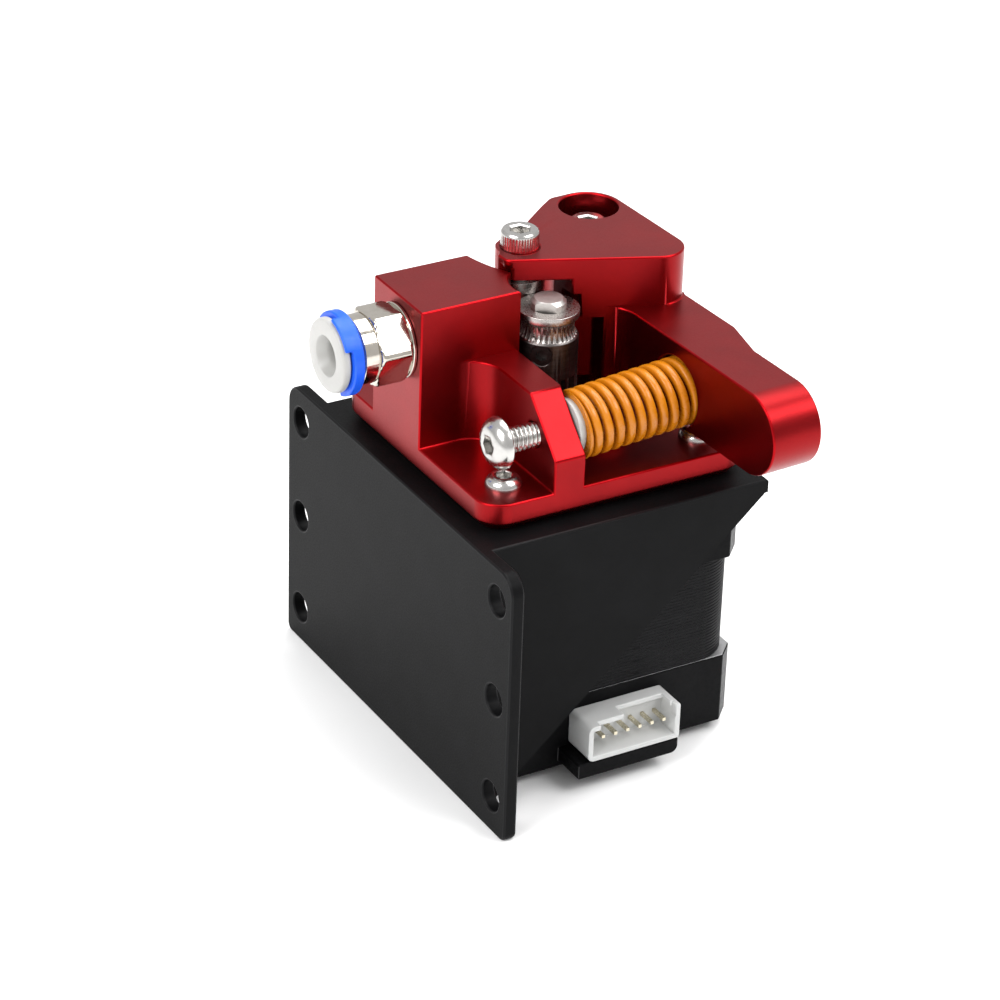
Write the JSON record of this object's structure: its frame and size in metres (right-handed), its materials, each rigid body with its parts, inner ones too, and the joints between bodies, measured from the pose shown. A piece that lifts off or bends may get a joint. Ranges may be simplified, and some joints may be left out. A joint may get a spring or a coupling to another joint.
{
  "type": "dual drive filament extruder",
  "caption": "Direct-drive filament extruder: two meshed hobbed gears, a sprung lever and a push-in tube fitting on a square stepper motor, carried by an L-shaped mounting bracket.",
  "frame": {"origin": "middle of the six plate holes on the bracket's mounting face", "axes": "-X out of the mounting face and the way the filament leaves, +Z from the motor towards the gears along the motor shaft, +Y to the side of the lever's pivot"},
  "size_m": [0.0546, 0.0703, 0.0711],
  "materials": {
    "red_anodised": "fine bead-blasted, red anodised",
    "black_anodised": "satin black anodised",
    "black_paint": "satin black paint over a die casting",
    "laminations": "stacked electrical steel, blackened",
    "stainless": "turned stainless steel",
    "gear_steel": "hardened steel, fine turned",
    "shaft_steel": "ground steel",
    "nickel": "nickel plated brass",
    "bronze": "sintered bronze",
    "spring_paint": "glossy orange paint",
    "collet_plastic": "ivory acetal",
    "clip_plastic": "blue acetal",
    "rubber": "nitrile rubber",
    "nylon": "natural nylon",
    "pin_gold": "tin and gold plated",
    "copper": "enamelled copper wire",
    "magnet": "nickel plated magnet"
  },
  "bodies": {
    "base": {"mount_bracket": "black_anodised", "base_body": "red_anodised", "mount_screws": "stainless", "pivot_screw": "stainless", "pivot_bush": "bronze", "pivot_washer": "stainless", "fitting_body": "nickel", "fitting_grip_ring": "stainless", "fitting_o_ring": "rubber", "tension_spring": "spring_paint", "motor_front_cap": "black_paint", "motor_stator": "laminations", "motor_windings": "copper", "winding_bobbins": "nylon", "motor_rear_cap": "black_paint", "bearing_outer_races": "shaft_steel", "wave_washer": "shaft_steel", "motor_screws": "stainless", "connector_housing": "nylon", "connector_pins": "pin_gold"},
    "rotor": {"motor_shaft": "shaft_steel", "rotor_stacks": "laminations", "rotor_magnet": "magnet", "bearing_inner_races": "shaft_steel", "bearing_balls": "shaft_steel", "drive_gear": "gear_steel", "drive_set_screw": "gear_steel"},
    "lever": {"tension_lever": "red_anodised", "idler_shaft_screw": "stainless", "idler_shims": "stainless"},
    "idler": {"idler_gear": "gear_steel", "idler_needle_cups": "shaft_steel", "idler_needles": "shaft_steel"},
    "seat": {"spring_seat": "collet_plastic"},
    "screw": {"tension_screw": "stainless"},
    "collet": {"fitting_collet": "collet_plastic"},
    "clip": {"fitting_clip": "clip_plastic"}
  },
  "joints": [
    {"name": "motor_spin", "type": "hinge", "parent": "base", "child": "rotor", "pos_m": [0.0237, 0, 0.0205], "axis": [0, 0, 1], "continuous": true},
    {"name": "lever_pivot", "type": "hinge", "parent": "base", "child": "lever", "pos_m": [0.0392, 0.0155, 0.0205], "axis": [0, 0, -1], "range_deg": [0, 6.5], "stiffness_Nm_per_rad": 6, "springref_deg": -20.05, "deforming": ["tension_spring"]},
    {"name": "idler_spin", "type": "hinge", "parent": "lever", "child": "idler", "pos_m": [0.02354, 0.00813, 0.0205], "axis": [0, 0, 1], "continuous": true},
    {"name": "tension_adjust", "type": "slide", "parent": "base", "child": "seat", "axis": [1, 0, 0], "range_m": [0, 0.0021], "deforming": ["tension_spring"]},
    {"name": "tension_screw_turn", "type": "hinge", "parent": "seat", "child": "screw", "pos_m": [0.0077, -0.015, 0.03115], "axis": [1, 0, 0], "range_deg": [0, 1080]},
    {"name": "collet_play", "type": "slide", "parent": "base", "child": "collet", "axis": [1, 0, 0], "range_m": [0, 0.0003]},
    {"name": "clip_pull", "type": "slide", "parent": "collet", "child": "clip", "axis": [0, -0.5736, 0.8192], "range_m": [0, 0.012]}
  ],
  "couplings": [
    {"joint": "idler_spin", "follows": "motor_spin", "ratio": -1},
    {"joint": "tension_screw_turn", "follows": "tension_adjust", "rad_per_m": 8976}
  ]
}
